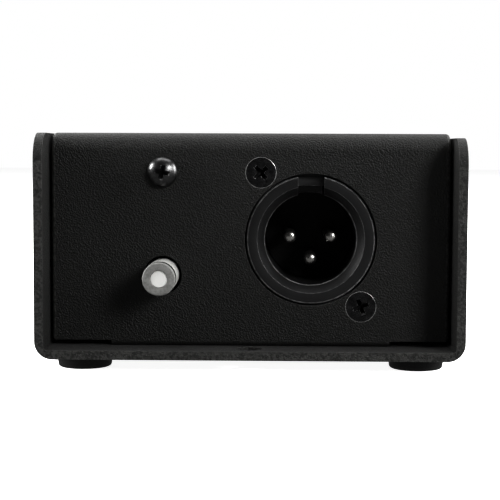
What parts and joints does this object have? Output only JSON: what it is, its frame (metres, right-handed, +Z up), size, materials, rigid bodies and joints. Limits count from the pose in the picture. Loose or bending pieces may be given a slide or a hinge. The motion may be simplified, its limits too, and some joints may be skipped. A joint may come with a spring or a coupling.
{
  "type": "direct injection box",
  "caption": "Passive direct injection box in a folded two-piece steel case, with a male three-pin output, a ground lift button and two jack sockets.",
  "frame": {"origin": "on the surface under the feet, below the middle of the box", "axes": "+Z up, +Y towards the rear panel with the jack sockets, +X right as seen from the front; the output socket and button face -Y"},
  "size_m": [0.0762, 0.1172, 0.0426],
  "materials": {
    "powder_coat": "fine-textured black powder coat",
    "black_screw": "satin black",
    "plated_steel": "zinc-plated",
    "foot_rubber": "matte",
    "socket_casting": "satin dark grey over die-casting",
    "black_plastic": "moulded",
    "contact_plating": "silver-plated",
    "button_grey": "satin",
    "button_white": "moulded",
    "brass_contact": "satin",
    "spring_steel": "bright",
    "board_resin": "pressed laminate",
    "board_green": "solder mask",
    "nickel_screw": "black nickel",
    "resistor_body": "lacquer",
    "capacitor_body": "dipped lacquer",
    "core_steel": "varnished laminations",
    "bobbin_plastic": "moulded nylon",
    "winding_tape": "polyester tape over copper wire",
    "wire_black": "insulation",
    "wire_red": "insulation",
    "wire_white": "insulation",
    "wire_green": "insulation",
    "nickel_plating": "nickel-plated"
  },
  "bodies": {
    "box": {"base_shell": "powder_coat", "top_cover": "powder_coat", "cover_screws": "black_screw", "clinch_nuts": "plated_steel", "foot_front_left": "foot_rubber", "foot_front_right": "foot_rubber", "foot_rear_left": "foot_rubber", "foot_rear_right": "foot_rubber", "xlr_housing": "socket_casting", "xlr_insert": "black_plastic", "xlr_pin_1": "contact_plating", "xlr_pin_2": "contact_plating", "xlr_pin_3": "contact_plating", "xlr_screws": "black_screw", "xlr_nuts": "plated_steel", "switch_spring": "spring_steel", "switch_housing": "black_plastic", "switch_base": "board_resin", "switch_terminals": "contact_plating", "circuit_board": "board_green", "board_standoff": "plated_steel", "panel_screw": "nickel_screw", "board_screw": "nickel_screw", "ground_resistor": "resistor_body", "ground_capacitor": "capacitor_body", "transformer_core": "core_steel", "transformer_bobbin": "bobbin_plastic", "transformer_winding": "winding_tape", "transformer_frame": "plated_steel", "transformer_pins": "contact_plating", "transformer_screws": "nickel_screw", "transformer_nuts": "plated_steel", "wire_pin_1": "wire_black", "wire_pin_2": "wire_red", "wire_pin_3": "wire_white", "wire_input_hot": "wire_red", "wire_input_cold": "wire_black", "wire_tip_link": "wire_red", "wire_sleeve_link": "wire_black", "wire_ground": "wire_green", "input_jack_housing": "black_plastic", "input_jack_bushing": "nickel_plating", "input_jack_nut": "nickel_plating", "input_jack_washer": "nickel_plating", "input_jack_tip_contact": "brass_contact", "input_jack_sleeve_contact": "brass_contact", "thru_jack_housing": "black_plastic", "thru_jack_bushing": "nickel_plating", "thru_jack_nut": "nickel_plating", "thru_jack_washer": "nickel_plating", "thru_jack_tip_contact": "brass_contact", "thru_jack_sleeve_contact": "brass_contact"},
    "ground_lift_button": {"ground_lift_cap": "button_grey", "switch_plunger": "button_white", "switch_wipers": "brass_contact"}
  },
  "joints": [
    {"name": "ground_lift_press", "type": "slide", "parent": "box", "child": "ground_lift_button", "axis": [0, 1, 0], "range_m": [0, 0.003], "stiffness_N_per_m": 400, "springref_m": -0.004, "deforming": ["switch_spring"]}
  ]
}
